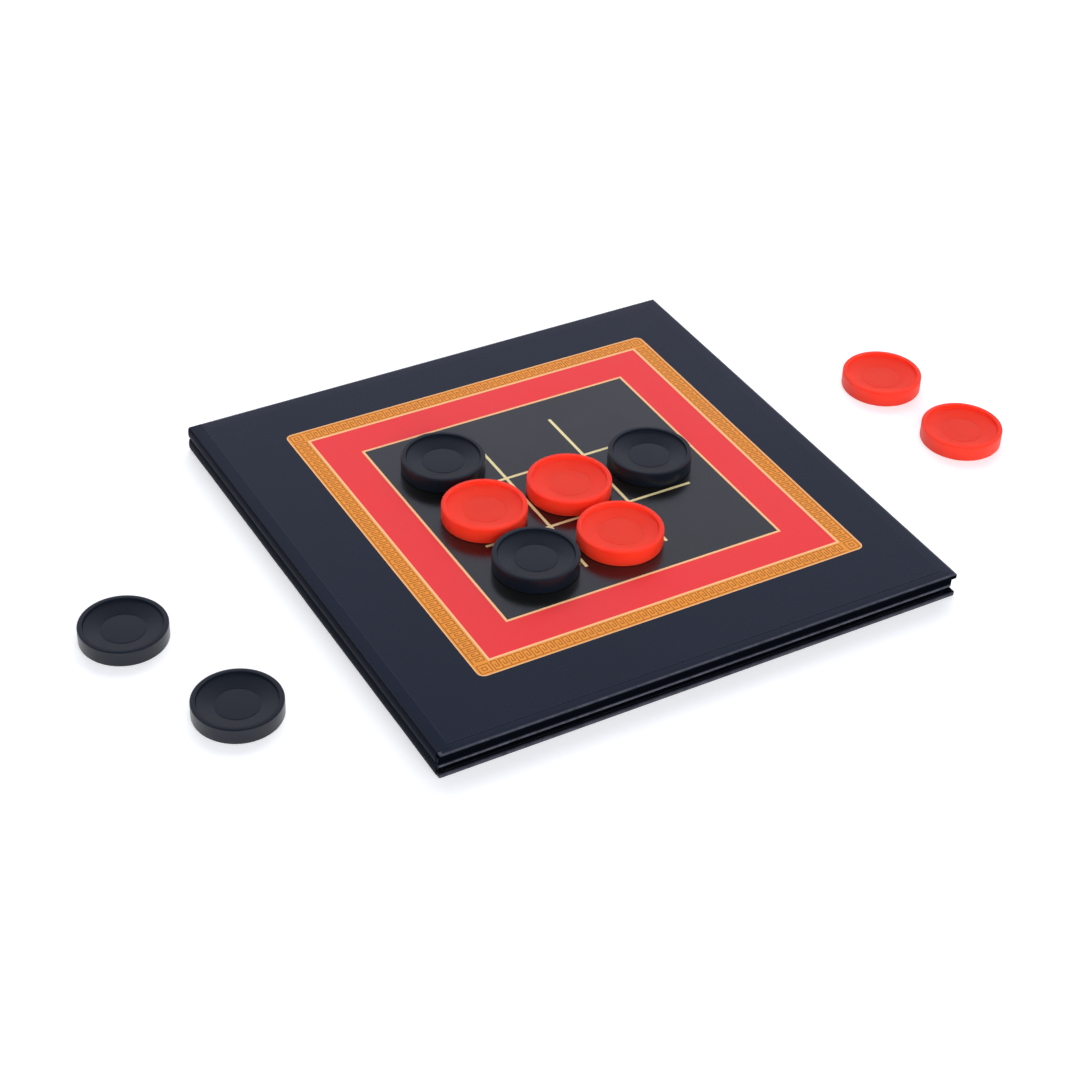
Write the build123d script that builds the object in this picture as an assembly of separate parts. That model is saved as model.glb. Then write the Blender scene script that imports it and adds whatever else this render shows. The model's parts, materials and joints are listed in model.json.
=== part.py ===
"""Folded travel game board with loose playing discs, in millimetres.

Four wrapped card panels are stacked. Two wrapped spines at the left and one at the front join
them into one folding board, and ten dished plastic discs lie on and beside it.
The origin is on the table, under the middle of the folded board. +X runs along the front edge,
+Y along the left edge, away from the front corner, and +Z is up.
"""
from build123d import *
import os

# Driving dimensions of the board
BOARD_SIDE = 200.0          # folded board, square
PANEL_THICKNESS = 2.2       # card with a pasted sheet on each side
PANEL_GAP = 0.3             # air between two folded panels
CORNER_RADIUS = 0.4         # corners of a panel
SHEET_THICKNESS = 0.25      # pasted sheet
SHEET_INSET = 4.0           # from the panel's edge to the pasted sheet's edge
GAME_SHEET_GUTTER = 0.8     # the same at the game sheet's two inner edges, so that the open board lines up
SHEET_CORNER_RADIUS = 0.8
BINDING_THICKNESS = 0.15    # black paper wrapped round the edges of the card

# Driving dimensions of the spines
SPINE_CLOTH = 0.3           # outer covering of a spine
SPINE_LINER = 0.4           # card strip inside it
CREASE_CLEARANCE = 0.1      # between the strip and the edge of a panel
SIDE_SPINE_BULGE = 0.3      # how far a left spine rounds out
FRONT_SPINE_BULGE = 0.1     # kept small, because the outer panels' lips pass close to it
CUT_GAP = 0.6               # between the two outer panels' front edges, when the board lies flat

# Driving dimensions of a disc
DISC_DIAMETER = 30.4
DISC_HEIGHT = 6.0
DISC_EDGE = 0.45            # slanted edge between the wall and each rim
DISC_RIM_WIDTH = 1.3        # flat ring round the dish
DISC_INNER_WALL = 1.2       # how far the steep wall inside the rim goes down
DISC_INNER_WALL_RUN = 0.25  # how far it leans inwards
DISC_DISH_DEPTH = 2.3       # at the flat middle, where the cone ends
DISC_MIDDLE_RADIUS = 7.6

# The grid that is printed on the top panel, whose cells the discs stand in
GRID_CENTRE_X = 4.6
GRID_CENTRE_Y = 2.95
GRID_PITCH = 32.0

# Worked out from the values above
FOLD_HEIGHT = 2 * PANEL_THICKNESS + PANEL_GAP
LEVEL_STEP = PANEL_THICKNESS + PANEL_GAP
STACK_HEIGHT = 4 * PANEL_THICKNESS + 3 * PANEL_GAP
SPINE_THICKNESS = SPINE_CLOTH + SPINE_LINER
SPINE_SETBACK = SPINE_THICKNESS + CREASE_CLEARANCE
HALF = BOARD_SIDE / 2
LEFT_CREASE_X = -HALF
FRONT_CREASE_Y = -HALF + (FOLD_HEIGHT - CUT_GAP) / 2
PANEL_LEFT_X = LEFT_CREASE_X + SPINE_SETBACK
INNER_FRONT_Y = FRONT_CREASE_Y + SPINE_SETBACK

# Each disc in play: colour, column and row of its cell, and how far off the cell's middle it stands
DISCS_IN_PLAY = [
    ("black", -1, 1, -1.5, -0.6),
    ("red", -1, 0, -2.1, -1.0),
    ("red", 0, 0, 0.1, -0.9),
    ("black", 1, 0, 2.6, 0.8),
    ("red", 0, -1, 1.7, -1.7),
    ("black", -1, -1, 0.4, -1.5),
]

# Each disc that waits on the table: colour and middle
DISCS_ON_TABLE = [
    ("black", -161.2, 9.2),
    ("black", -142.8, -42.7),
    ("red", 154.8, 19.0),
    ("red", 160.5, -24.2),
]


def slab(low, high, radius=0.0):
    """A flat plate between two corners, with its four upright edges rounded."""
    size = [b - a for a, b in zip(low, high)]
    middle = [(a + b) / 2 for a, b in zip(low, high)]
    plate = Pos(*middle) * Box(*size)
    if radius:
        plate = fillet(plate.edges().filter_by(Axis.Z), radius)
    return plate


def save(solid, name):
    """Write one node."""
    solid.label = name
    export_step(solid, f"parts/{name}.step")


def make_panel(name, level, front_y, outer_is_up):
    """Card, edge binding, outer sheet and inner game sheet of one panel."""
    bottom = level * LEVEL_STEP
    top = bottom + PANEL_THICKNESS
    left, right, back = PANEL_LEFT_X, HALF, HALF

    card = slab(
        (left + BINDING_THICKNESS, front_y + BINDING_THICKNESS, bottom + SHEET_THICKNESS),
        (right - BINDING_THICKNESS, back - BINDING_THICKNESS, top - SHEET_THICKNESS),
        CORNER_RADIUS - BINDING_THICKNESS,
    )

    def pasted_sheet(foot, inner_margin):
        """A sheet that keeps the usual margin at the right and the back."""
        return slab(
            (left + inner_margin, front_y + inner_margin, foot),
            (right - SHEET_INSET, back - SHEET_INSET, foot + SHEET_THICKNESS),
            SHEET_CORNER_RADIUS,
        )

    if outer_is_up:
        game_foot, outer_foot = bottom, top - SHEET_THICKNESS
    else:
        game_foot, outer_foot = top - SHEET_THICKNESS, bottom
    game_sheet = pasted_sheet(game_foot, GAME_SHEET_GUTTER)
    outer_sheet = pasted_sheet(outer_foot, SHEET_INSET)

    # The binding laps over both faces of the card, up to the pasted sheets that cover its ends
    sheet_rise = SHEET_THICKNESS - BINDING_THICKNESS
    wrapped = slab(
        (left, front_y, bottom + sheet_rise), (right, back, top - sheet_rise), CORNER_RADIUS
    )
    binding = wrapped - card - game_sheet - outer_sheet

    save(card, f"{name}_card")
    save(binding, f"{name}_binding")
    save(outer_sheet, f"{name}_outer_sheet")
    save(game_sheet, f"{name}_game_sheet")


def spine_sections(bulge):
    """The spine's cloth and liner in section: creases at (0, 0) and (0, FOLD_HEIGHT), inside at +X."""
    lower_crease, upper_crease = (0, 0), (0, FOLD_HEIGHT)
    lower_seam, upper_seam = (SPINE_CLOTH, 0), (SPINE_CLOTH, FOLD_HEIGHT)
    rounded = ThreePointArc(lower_crease, (-bulge, FOLD_HEIGHT / 2), upper_crease)
    rest = Polyline(upper_crease, upper_seam, lower_seam, lower_crease)
    cloth = make_face(rounded + rest)
    liner = make_face(
        Polyline(
            lower_seam, upper_seam, (SPINE_THICKNESS, FOLD_HEIGHT), (SPINE_THICKNESS, 0), lower_seam
        )
    )
    return cloth, liner


def make_side_spine(name, foot_z):
    """A wrapped spine at the left, from the front crease to the back edge."""
    length = HALF - CORNER_RADIUS - FRONT_CREASE_Y
    # Local X stays X, local Y becomes Z, and the section is drawn out along +Y
    place = Plane(
        origin=(LEFT_CREASE_X, FRONT_CREASE_Y, foot_z), x_dir=(1, 0, 0), z_dir=(0, -1, 0)
    )
    for part, section in zip(("cloth", "liner"), spine_sections(SIDE_SPINE_BULGE)):
        save(extrude(place * section, -length), f"{name}_{part}")


def make_front_spine(name, foot_z):
    """The wrapped spine at the front, between the two recessed middle panels."""
    length = HALF - CORNER_RADIUS - PANEL_LEFT_X
    # Local X becomes Y, local Y becomes Z, and the section is drawn out along +X
    place = Plane(
        origin=(PANEL_LEFT_X, FRONT_CREASE_Y, foot_z), x_dir=(0, 1, 0), z_dir=(1, 0, 0)
    )
    for part, section in zip(("cloth", "liner"), spine_sections(FRONT_SPINE_BULGE)):
        save(extrude(place * section, length), f"{name}_{part}")


def face_outline(level, inward):
    """Half of one face of a disc, from its wall to its middle. inward is -1 on the top face."""
    radius = DISC_DIAMETER / 2
    rim_outside = radius - DISC_EDGE
    rim_inside = rim_outside - DISC_RIM_WIDTH
    middle = level + inward * DISC_DISH_DEPTH
    return [
        (radius, level + inward * DISC_EDGE),
        (rim_outside, level),
        (rim_inside, level),
        (rim_inside - DISC_INNER_WALL_RUN, level + inward * DISC_INNER_WALL),
        (DISC_MIDDLE_RADIUS, middle),
        (0, middle),
    ]


def make_disc():
    """One playing disc at the origin, dished alike on both faces so that discs stack."""
    bottom_face = face_outline(0, 1)
    top_face = face_outline(DISC_HEIGHT, -1)
    outline = Polyline(*bottom_face, *reversed(top_face), bottom_face[0])
    return revolve(Plane.XZ * make_face(outline), Axis.Z)


def place_discs():
    """The discs, numbered by colour: first those in play, then those on the table."""
    middles = [
        (colour, GRID_CENTRE_X + column * GRID_PITCH + dx, GRID_CENTRE_Y + row * GRID_PITCH + dy,
         STACK_HEIGHT)
        for colour, column, row, dx, dy in DISCS_IN_PLAY
    ]
    middles += [(colour, x, y, 0) for colour, x, y in DISCS_ON_TABLE]
    disc = make_disc()
    count = {"red": 0, "black": 0}
    for colour, x, y, z in middles:
        count[colour] += 1
        save(Pos(x, y, z) * disc, f"{colour}_disc_{count[colour]}")


def main():
    os.makedirs("parts", exist_ok=True)
    make_panel("bottom_panel", 0, -HALF, outer_is_up=False)
    make_panel("lower_middle_panel", 1, INNER_FRONT_Y, outer_is_up=True)
    make_panel("upper_middle_panel", 2, INNER_FRONT_Y, outer_is_up=False)
    make_panel("top_panel", 3, -HALF, outer_is_up=True)
    make_side_spine("lower_spine", 0)
    make_side_spine("upper_spine", 2 * LEVEL_STEP)
    make_front_spine("front_spine", LEVEL_STEP)
    place_discs()


main()
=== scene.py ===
"""Looks of the folding game board and its playing discs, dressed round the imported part."""

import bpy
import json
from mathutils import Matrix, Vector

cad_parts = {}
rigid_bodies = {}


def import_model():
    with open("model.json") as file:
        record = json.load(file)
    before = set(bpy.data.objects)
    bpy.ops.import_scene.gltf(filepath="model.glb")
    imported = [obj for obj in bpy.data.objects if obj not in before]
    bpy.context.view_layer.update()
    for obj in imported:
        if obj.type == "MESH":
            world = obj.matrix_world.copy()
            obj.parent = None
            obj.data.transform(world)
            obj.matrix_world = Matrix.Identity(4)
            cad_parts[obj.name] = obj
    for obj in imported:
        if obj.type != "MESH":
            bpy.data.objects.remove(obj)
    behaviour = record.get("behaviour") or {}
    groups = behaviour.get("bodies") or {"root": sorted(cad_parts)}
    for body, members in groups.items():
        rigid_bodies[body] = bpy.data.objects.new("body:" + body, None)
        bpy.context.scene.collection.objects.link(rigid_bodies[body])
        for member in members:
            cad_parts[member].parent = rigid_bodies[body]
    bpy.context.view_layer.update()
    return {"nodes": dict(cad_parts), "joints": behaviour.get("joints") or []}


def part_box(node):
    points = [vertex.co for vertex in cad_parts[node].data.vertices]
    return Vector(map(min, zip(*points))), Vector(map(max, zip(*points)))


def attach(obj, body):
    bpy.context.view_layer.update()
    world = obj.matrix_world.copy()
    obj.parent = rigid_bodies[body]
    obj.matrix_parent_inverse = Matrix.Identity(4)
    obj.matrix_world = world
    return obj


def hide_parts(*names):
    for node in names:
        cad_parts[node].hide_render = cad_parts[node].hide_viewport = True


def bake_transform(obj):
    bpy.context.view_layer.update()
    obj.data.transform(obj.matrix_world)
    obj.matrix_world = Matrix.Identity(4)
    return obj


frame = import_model()

import json
import math
from functools import partialmethod

import bpy
from bpy.props import FloatProperty, FloatVectorProperty, IntProperty, PointerProperty
from mathutils import Euler, Matrix, Vector, noise

bl_info = {
    "name": "Folding Game Board",
    "version": (1, 0, 0),
    "blender": (4, 5, 0),
    "location": "View3D > Sidebar > Game Board",
    "description": "Dresses a folding card game board and its playing discs",
    "category": "Add Mesh",
}

MM = 0.001
SENSOR_WIDTH = 36.0  # of the camera, in millimetres
NEAREST_SEEN, FARTHEST_SEEN = 0.01, 100.0
SHARP_FROM = math.radians(40)  # an edge that turns more than this stays sharp
INK_CORNER = 0.05 * MM  # radius of the sharpest corners of printed ink
NO_LEVEL = -1.0  # a height that no face is at
SPINE_LAP = 5.0 * MM  # how far a spine's cloth laps over a panel
BEND_REACH = 0.8 * MM  # a reach from a crease; the points worked out from it with place() are not kept

PANELS = ("bottom_panel", "lower_middle_panel", "upper_middle_panel", "top_panel")
OUTER_FACE_UP = {"lower_middle_panel", "top_panel"}
LIPPED_PANELS = ("bottom_panel", "top_panel")
SPINE_FOLDS = {
    "lower_spine": "lower_fold", "front_spine": "front_fold", "upper_spine": "upper_fold",
}
DISCS = [f"{colour}_disc_{number}" for colour in ("red", "black") for number in range(1, 6)]

# The rubbed line and painted highlight along a panel's edges: its width, and how strong it is. On
# the top panel it is centred over the edge, on the others at the foot
PANEL_WEAR_AND_HIGHLIGHT = {
    "top_panel": (1.05 * MM, 0.8), "upper_middle_panel": (1.0 * MM, 0.5),
    "lower_middle_panel": (1.0 * MM, 0.5), "bottom_panel": (2.05 * MM, 0.62),
}
# Rise of the top panel's rubbed line and painted highlight over its top edge
TOP_WEAR_AND_HIGHLIGHT_RISE = 0.55 * MM
# Light of the room, from straight down to straight up: a place from 0 to 1, and a colour
ROOM_TINTS = (
    (0.0, (0.42, 0.42, 0.42)), (0.26, (0.44, 0.44, 0.46)), (0.50, (0.80, 0.82, 1.0)),
    (0.68, (0.46, 0.475, 0.595)), (1.0, (0.16, 0.165, 0.18)),
)
# Waves of the spines' cloth: turns per metre along it, seed and strength, and turns up it
CLOTH_WAVES = ((60, 13.0, 1.0), (190, 3.0, 0.5))
WAVES_UP = 200


# Settings that a user may change

def number(name, description, default, high=1.0, **more):
    """A number from 0 to its highest."""
    return FloatProperty(
        name=name, description=description, default=default, min=0.0, max=high, **more
    )


def length(name, description, default, high=1.0):
    """A length in metres, shown to a tenth of a millimetre."""
    return number(name, description, default, high, unit="LENGTH", precision=4)


def size(name, description, millimetres):
    """A length that is given in millimetres."""
    return length(name, description, millimetres * MM)


def share(name, description, default):
    """A value from 0 to 1."""
    return number(name, description, default, subtype="FACTOR")


def angle(name, description, degrees):
    """An angle either way."""
    return FloatProperty(
        name=name, description=description, default=math.radians(degrees), subtype="ANGLE"
    )


def place(name, description, default):
    """A place in metres, flat or in space."""
    return FloatVectorProperty(
        name=name, description=description, default=default, size=len(default),
        subtype="XYZ", unit="LENGTH", precision=4,
    )


def colour(name, description, default):
    """A plain colour."""
    return FloatVectorProperty(
        name=name, description=description, default=default, min=0.0, max=1.0,
        size=3, subtype="COLOR",
    )


class StudioLook(bpy.types.PropertyGroup):
    """Camera, lamps, floor and surroundings."""
    azimuth: angle("Azimuth", "Camera's turn round the board", -30.63)
    elevation: angle("Elevation", "Camera's height over the horizon", 37.39)
    roll: angle("Roll", "Camera's turn about its own view", 2.18)
    distance: length("Distance", "From the camera to the point that it looks at", 0.8194, 5.0)
    target: place("Target", "Point that the camera looks at", (-0.0184, -0.0182, 0.0097))
    lens: number("Lens", "Focal length on a 36 mm sensor", 78.87, 300.0, unit="CAMERA")
    front_power: number(
        "Front Power", "Power of the soft lamp behind the camera", 165.0, 500.0, unit="POWER"
    )
    front_place: place("Front Place", "Place of that lamp", (-0.90, -3.36, 1.28))
    back_power: number(
        "Back Power", "Power of the soft lamp behind the board", 140.0, 500.0, unit="POWER"
    )
    back_place: place("Back Place", "Place of that lamp", (1.66, 2.81, 1.74))
    lamp_side: length("Lamp Size", "Side of each square soft lamp", 4.0, 9.0)
    behind_camera: share("Behind Camera", "Brightness of the room behind the camera", 0.3)
    floor_colour: colour("Floor", "Pale floor", (0.80, 0.805, 0.81))
    backdrop: share("Backdrop", "Plain white that is added to the floor where it is seen", 0.39)


class BoardLook(bpy.types.PropertyGroup):
    """Wrapped panels and spines."""
    edge_rounding: size("Edge Rounding", "Radius of a panel's wrapped edges", 0.45)
    corner_rounding: size("Corner Rounding", "Radius of a panel's corners", 0.4)
    turned_in: size("Turned In", "How far the edge paper laps over a face", 4.3)
    paper: size("Paper", "Thickness of the edge paper", 0.15)
    cloth: size("Cloth", "Thickness of the cover at a crease", 0.22)
    crease_rounding: size("Crease Rounding", "Radius of a spine's folded edges", 0.5)
    unevenness: size("Unevenness", "How far a spine's cover waves in and out", 0.07)
    cover_colour: colour("Cover", "Dark paper on the flat outer faces", (0.006, 0.010, 0.022))
    cloth_colour: colour("Cloth", "Spine cloth where it laps over a face", (0.005, 0.009, 0.021))
    # Painted shade: the narrow sides are much darker than the same paper and cloth on the faces
    side_colour: colour("Sides", "Dark paper and cloth on the narrow sides", (0.002, 0.003, 0.005))
    # Painted shade as well on the left spines' narrow sides
    spine_shaded_side_colour: colour(
        "Left Spines' Sides", "Dark cloth on the left spines' narrow sides", (0.005, 0.008, 0.015)
    )
    spine_side_gloss: share("Left Spines' Gloss", "Gloss of the same narrow sides", 0.007)
    # Painted highlight as well as wear: the light line along the edges is painted in this colour
    rubbed_and_highlight_colour: colour("Rubbed Edges and Highlights", "Where an edge is rubbed", (0.115, 0.120, 0.150))
    liner_colour: colour("Liner", "Black card inside a spine", (0.011, 0.012, 0.016))
    card_colour: colour("Card", "Grey board inside a panel", (0.30, 0.27, 0.23))


class PrintLook(bpy.types.PropertyGroup):
    """The grid and the bands on the top panel."""
    centre: place("Centre", "Middle of the print", (0.0045, 0.0026))
    outer_side: size("Outer Side", "Side of the patterned band's outer square", 151.5)
    middle_side: size("Middle Side", "Side of the line between the bands", 138.0)
    inner_side: size("Inner Side", "Side of the line round the grid", 108.6)
    outer_line: size("Outer Line", "Width of the outermost line", 0.38)
    middle_line: size("Middle Line", "Width of the line between the bands", 0.85)
    inner_line: size("Inner Line", "Width of the line round the grid", 0.9)
    outer_corner: size("Outer Corner", "Radius of the patterned band's corners", 2.6)
    grid_centre: place("Grid Centre", "Middle of the grid", (0.0046, 0.00295))
    grid_pitch: size("Grid Pitch", "Between the two lines each way", 32.0)
    grid_length: size("Grid Length", "Length of each line of the grid", 83.0)
    grid_line: size("Grid Line", "Width of a line of the grid", 1.15)
    key_pitch: size("Key Pitch", "Repeat of the key pattern", 2.8)
    key_height: size("Key Height", "Height of the key pattern", 4.5)
    key_line: size("Key Line", "Width of the key pattern's line", 0.34)
    ink: size("Ink", "Thickness of the printed ink", 0.02)
    orange: colour("Orange", "Patterned band", (0.815, 0.29, 0.014))
    brown: colour("Brown", "Key pattern", (0.38, 0.09, 0.005))
    red: colour("Red", "Plain band", (0.83, 0.027, 0.029))
    cream: colour("Cream", "Lines round the bands", (0.93, 0.53, 0.24))
    yellow: colour("Yellow", "Lines of the grid", (0.82, 0.72, 0.36))
    field: colour("Field", "Ground under the grid", (0.008, 0.008, 0.007))


class GameLook(bpy.types.PropertyGroup):
    """The chequered board on the inner faces."""
    square: size("Square", "Side of a square", 44.6)
    line: size("Line", "Width of the line round the squares", 1.0)
    margin: size("Margin", "From the squares to that line", 2.4)
    light: colour("Light Squares", "Ink of the light squares", (0.62, 0.035, 0.035))
    dark: colour("Dark Squares", "Ink of the dark squares", (0.014, 0.014, 0.015))


class DiscLook(bpy.types.PropertyGroup):
    """Moulded playing discs."""
    edge_rounding: size("Edge Rounding", "Reach of the round between the wall and a face", 0.6)
    rim: size("Rim", "From the wall to the inner wall", 1.75)
    inner_wall: size("Inner Wall", "Depth of the steep wall inside the rim", 1.2)
    lean: size("Lean", "How far that wall leans inwards", 0.25)
    dish_depth: size("Dish Depth", "Depth of the flat middle", 2.3)
    middle: size("Middle", "Radius of the flat middle", 7.6)
    groove: size("Groove", "Depth of the fine groove round the flat middle", 0.12)
    segments: IntProperty(
        name="Segments", description="Steps round a disc", default=112, min=24, max=256,
    )
    red: colour("Red", "Red plastic", (0.98, 0.044, 0.017))
    black: colour("Black", "Black plastic", (0.005, 0.008, 0.014))


SETTINGS = {
    "studio_look": StudioLook,
    "board_look": BoardLook,
    "print_look": PrintLook,
    "game_look": GameLook,
    "disc_look": DiscLook,
}


# Meshes

def source_mesh(name, points, faces=(), edges=()):
    """A mesh from its points, its faces and its loose edges."""
    mesh = bpy.data.meshes.new(name)
    mesh.from_pydata([tuple(point) for point in points], list(edges), list(faces))
    return mesh


def add_object(name, data):
    """A new object in the scene."""
    added = bpy.data.objects.new(name, data)
    bpy.context.scene.collection.objects.link(added)
    return added


def make_piece(name, shape, material):
    """A smooth-shaded mesh object from points and faces that already point outwards."""
    mesh = source_mesh(name, *shape)
    mesh.validate()
    mesh.shade_smooth()
    mesh.set_sharp_from_angle(angle=SHARP_FROM)
    mesh.materials.append(material)
    return add_object(name, mesh)


def fit_to_body(piece, body, replaced=()):
    """Let a finished piece ride on its body, and hide the nodes that it stands for."""
    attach(piece, body)
    if replaced:
        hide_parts(*replaced)


def loft(loops, joined_ends=False):
    """Points and faces between loops of equal length, whose ends are capped or joined."""
    count = len(loops[0])
    points = [point for loop in loops for point in loop]
    faces = []
    spans = len(loops) if joined_ends else len(loops) - 1
    for span in range(spans):
        here, there = span * count, (span + 1) % len(loops) * count
        for index in range(count):
            after = (index + 1) % count
            faces.append((here + index, here + after, there + after, there + index))
    if not joined_ends:
        last = (len(loops) - 1) * count
        faces.append(tuple(reversed(range(count))))
        faces.append(tuple(range(last, last + count)))
    return points, faces


def turned_over(faces):
    """Faces that point the other way."""
    return [tuple(reversed(face)) for face in faces]


def rounded_loop(low, high, inset, radius, height, steps=6):
    """A rounded rectangle at one height, anticlockwise from above, inset from two corners."""
    left, right = low[0] + inset, high[0] - inset
    front, back = low[1] + inset, high[1] - inset
    radius = max(radius - inset, 0.02 * MM)
    corners = (
        (right - radius, front + radius, -90),
        (right - radius, back - radius, 0),
        (left + radius, back - radius, 90),
        (left + radius, front + radius, 180),
    )
    points = []
    for x, y, start in corners:
        for step in range(steps + 1):
            turn = math.radians(start + 90 * step / steps)
            points.append((x + radius * math.cos(turn), y + radius * math.sin(turn), height))
    return points


def quarter(centre, radius, start, steps=6):
    """Points of a quarter arc in a section, in degrees from start to start + 90."""
    turns = [math.radians(start + 90 * step / steps) for step in range(steps + 1)]
    return [(centre[0] + radius * math.cos(t), centre[1] + radius * math.sin(t)) for t in turns]


def softened(corners, steps=6):
    """An open outline whose corners are rounded, each from its own reach before it to after it.

    No round takes up more than 0.45 of a side.
    """
    outline = []
    for index, (corner, reach) in enumerate(corners):
        corner = Vector(corner)
        if not reach:
            outline.append(tuple(corner))
            continue
        start, end = (
            corner + side.normalized() * min(reach, side.length * 0.45)
            for side in (Vector(corners[index + way][0]) - corner for way in (-1, 1))
        )
        for step in range(steps + 1):
            t = step / steps
            outline.append(tuple(start * (1 - t) ** 2 + corner * 2 * t * (1 - t) + end * t ** 2))
    return outline


def edge_profile(foot, top, edge, depth=0.0):
    """Insets and heights over and under a rounded edge, or at a depth inside it."""
    radius = edge - depth
    upper = [(depth + radius - x, z) for x, z in quarter((0, top - edge), radius, 0)][::-1]
    return upper + [(inset, foot + top - height) for inset, height in reversed(upper)]


def rounded_slab(low, high, corner, edge):
    """A flat block whose upper and lower edges are rounded along its two low sides."""
    return loft([
        rounded_loop((low[0] + inset, low[1] + inset), high, 0, corner, height)
        for inset, height in reversed(edge_profile(low[2], high[2], edge))
    ])


def flat_ring(centre, outer_side, inner_side, outer_corner, foot, top):
    """A flat square ring of ink."""
    middle = Vector(centre)
    inner_corner = max(outer_corner - (outer_side - inner_side) / 2, INK_CORNER)
    loops = []
    for side, corner, height in (
        (outer_side, outer_corner, foot), (outer_side, outer_corner, top),
        (inner_side, inner_corner, top), (inner_side, inner_corner, foot),
    ):
        half = Vector((side / 2, side / 2))
        loops.append(rounded_loop(middle - half, middle + half, 0, corner, height))
    return loft(loops, joined_ends=True)


def flat_plate(low, high, foot, top):
    """A flat plate of ink between two corners."""
    return loft([rounded_loop(low, high, 0, INK_CORNER, z, steps=2) for z in (foot, top)])


def ink_levels(sheet, ink, faces_down=False):
    """Heights of ink on a sheet: its hidden foot, and the faces of a thin and of a thick layer."""
    low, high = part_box(sheet)
    face, out = (low.z, -ink) if faces_down else (high.z, ink)
    return face - out, face + out / 2, face + out


def stroke_plate(path, width, foot, top):
    """A line of ink of one width along a path, with mitred corners."""
    path = [Vector(point) for point in path]
    left, right = [], []
    for index, point in enumerate(path):
        before = (point - path[index - 1]).normalized() if index else None
        after = (path[index + 1] - point).normalized() if index < len(path) - 1 else None
        sides = [Vector((-d.y, d.x)) for d in (before, after) if d is not None]
        mitre = sum(sides, Vector((0, 0))).normalized()
        reach = width / 2 / mitre.dot(sides[0])
        left.append(point + mitre * reach)
        right.append(point - mitre * reach)
    outline = [*right, *reversed(left)]
    count = len(outline)
    points = [(*point, height) for height in (foot, top) for point in outline]
    faces = [
        (index, (index + 1) % count, count + (index + 1) % count, count + index)
        for index in range(count)
    ]
    for run in range(len(path) - 1):
        face = (run, run + 1, count - 2 - run, count - 1 - run)
        faces += [tuple(count + index for index in face), face[::-1]]
    return points, faces


def joined(parts):
    """Several sets of points and faces as one."""
    points, faces = [], []
    for more_points, more_faces in parts:
        shift = len(points)
        points += more_points
        faces += [tuple(shift + index for index in face) for face in more_faces]
    return points, faces


# Node trees

class Value:
    """A node's output. Arithmetic on it adds the nodes that work out the result."""

    def __init__(self, socket):
        self.tree, self.socket = socket.id_data, socket

    def math(self, operation, *others):
        """The result of one sum with other values or numbers."""
        terms = {f"_{index}": term for index, term in enumerate((self, *others))}
        return add_value(self.tree, "ShaderNodeMath", {"operation": operation}, **terms)

    __add__ = partialmethod(math, "ADD")
    __sub__ = partialmethod(math, "SUBTRACT")
    __mul__ = partialmethod(math, "MULTIPLY")
    __truediv__ = partialmethod(math, "DIVIDE")
    __mod__ = partialmethod(math, "MODULO")
    __abs__ = partialmethod(math, "ABSOLUTE")

    def remap(self, low, high, to_low=0.0, to_high=1.0):
        """Moved from one range to another, and kept in it."""
        return add_value(
            self.tree, "ShaderNodeMapRange", _0=self, _1=low, _2=high, _3=to_low, _4=to_high
        )

    def noise(self, scale, detail=3.0, roughness=0.5):
        """A noise from 0 to 1 at this place, at a number of waves per metre."""
        return add_value(
            self.tree, "ShaderNodeTexNoise",
            Vector=self, Scale=scale, Detail=detail, Roughness=roughness,
        )

    def split(self):
        """The X, Y and Z of this place."""
        return named_values(add_node(self.tree, "ShaderNodeSeparateXYZ", Vector=self))


def fill(node, **inputs):
    """Give a node's inputs numbers or values, by name, or by place where names repeat."""
    for key, value in inputs.items():
        if key.startswith("_"):
            socket = node.inputs[int(key[1:])]
        else:
            socket = next(s for s in node.inputs if s.enabled and s.name.replace(" ", "_") == key)
        if isinstance(value, Value):
            value.tree.links.new(value.socket, socket)
        else:
            socket.default_value = value


def add_node(tree, kind, settings=None, **inputs):
    """Add a node with its settings and its inputs."""
    node = tree.nodes.new(kind)
    for key, value in (settings or {}).items():
        setattr(node, key, value)
    fill(node, **inputs)
    return node


def add_value(tree, kind, settings=None, output=0, **inputs):
    """Add a node of which one output is wanted."""
    return Value(add_node(tree, kind, settings, **inputs).outputs[output])


def named_values(node):
    """A node's outputs by their names."""
    return {socket.name: Value(socket) for socket in node.outputs}


def vector(tree, **parts):
    """A vector from those of its X, Y and Z that aren't 0."""
    return add_value(tree, "ShaderNodeCombineXYZ", **parts)


def add_socket(tree, label, direction, kind):
    """One named input or output of a tree."""
    return tree.interface.new_socket(
        label.replace("_", " "), in_out=direction, socket_type=f"NodeSocket{kind}"
    )


def new_tree(name, tree_kind, **inputs):
    """An empty tree and the values that it is given. Each input is its default or its kind."""
    tree = bpy.data.node_groups.new(name, tree_kind)
    for label, default in inputs.items():
        if isinstance(default, str):
            add_socket(tree, label, "INPUT", default)
        else:
            kind = {int: "Int", float: "Float", tuple: "Color"}[type(default)]
            add_socket(tree, label, "INPUT", kind).default_value = default
    return tree, named_values(tree.nodes.new("NodeGroupInput"))


def close_tree(tree, **results):
    """Give a tree its named results, numbers unless the name says otherwise."""
    for label in results:
        kind = {"Geometry": "Geometry", "Colour": "Color"}.get(label, "Float")
        add_socket(tree, label, "OUTPUT", kind)
    fill(tree.nodes.new("NodeGroupOutput"), **results)
    return tree


# Geometry Nodes trees

def new_growth(name, **inputs):
    """An empty tree that turns a source geometry into a piece of one material."""
    return new_tree(
        name, "GeometryNodeTree", Geometry="Geometry", **inputs, Centre="Vector",
        Material="Material",
    )


def close_growth(given, geometry):
    """Finish such a tree with real geometry in the material that it is given."""
    real = add_value(geometry.tree, "GeometryNodeRealizeInstances", Geometry=geometry)
    return close_tree(geometry.tree, Geometry=add_value(
        geometry.tree, "GeometryNodeSetMaterial", Geometry=real, Material=given["Material"]
    ))


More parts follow.
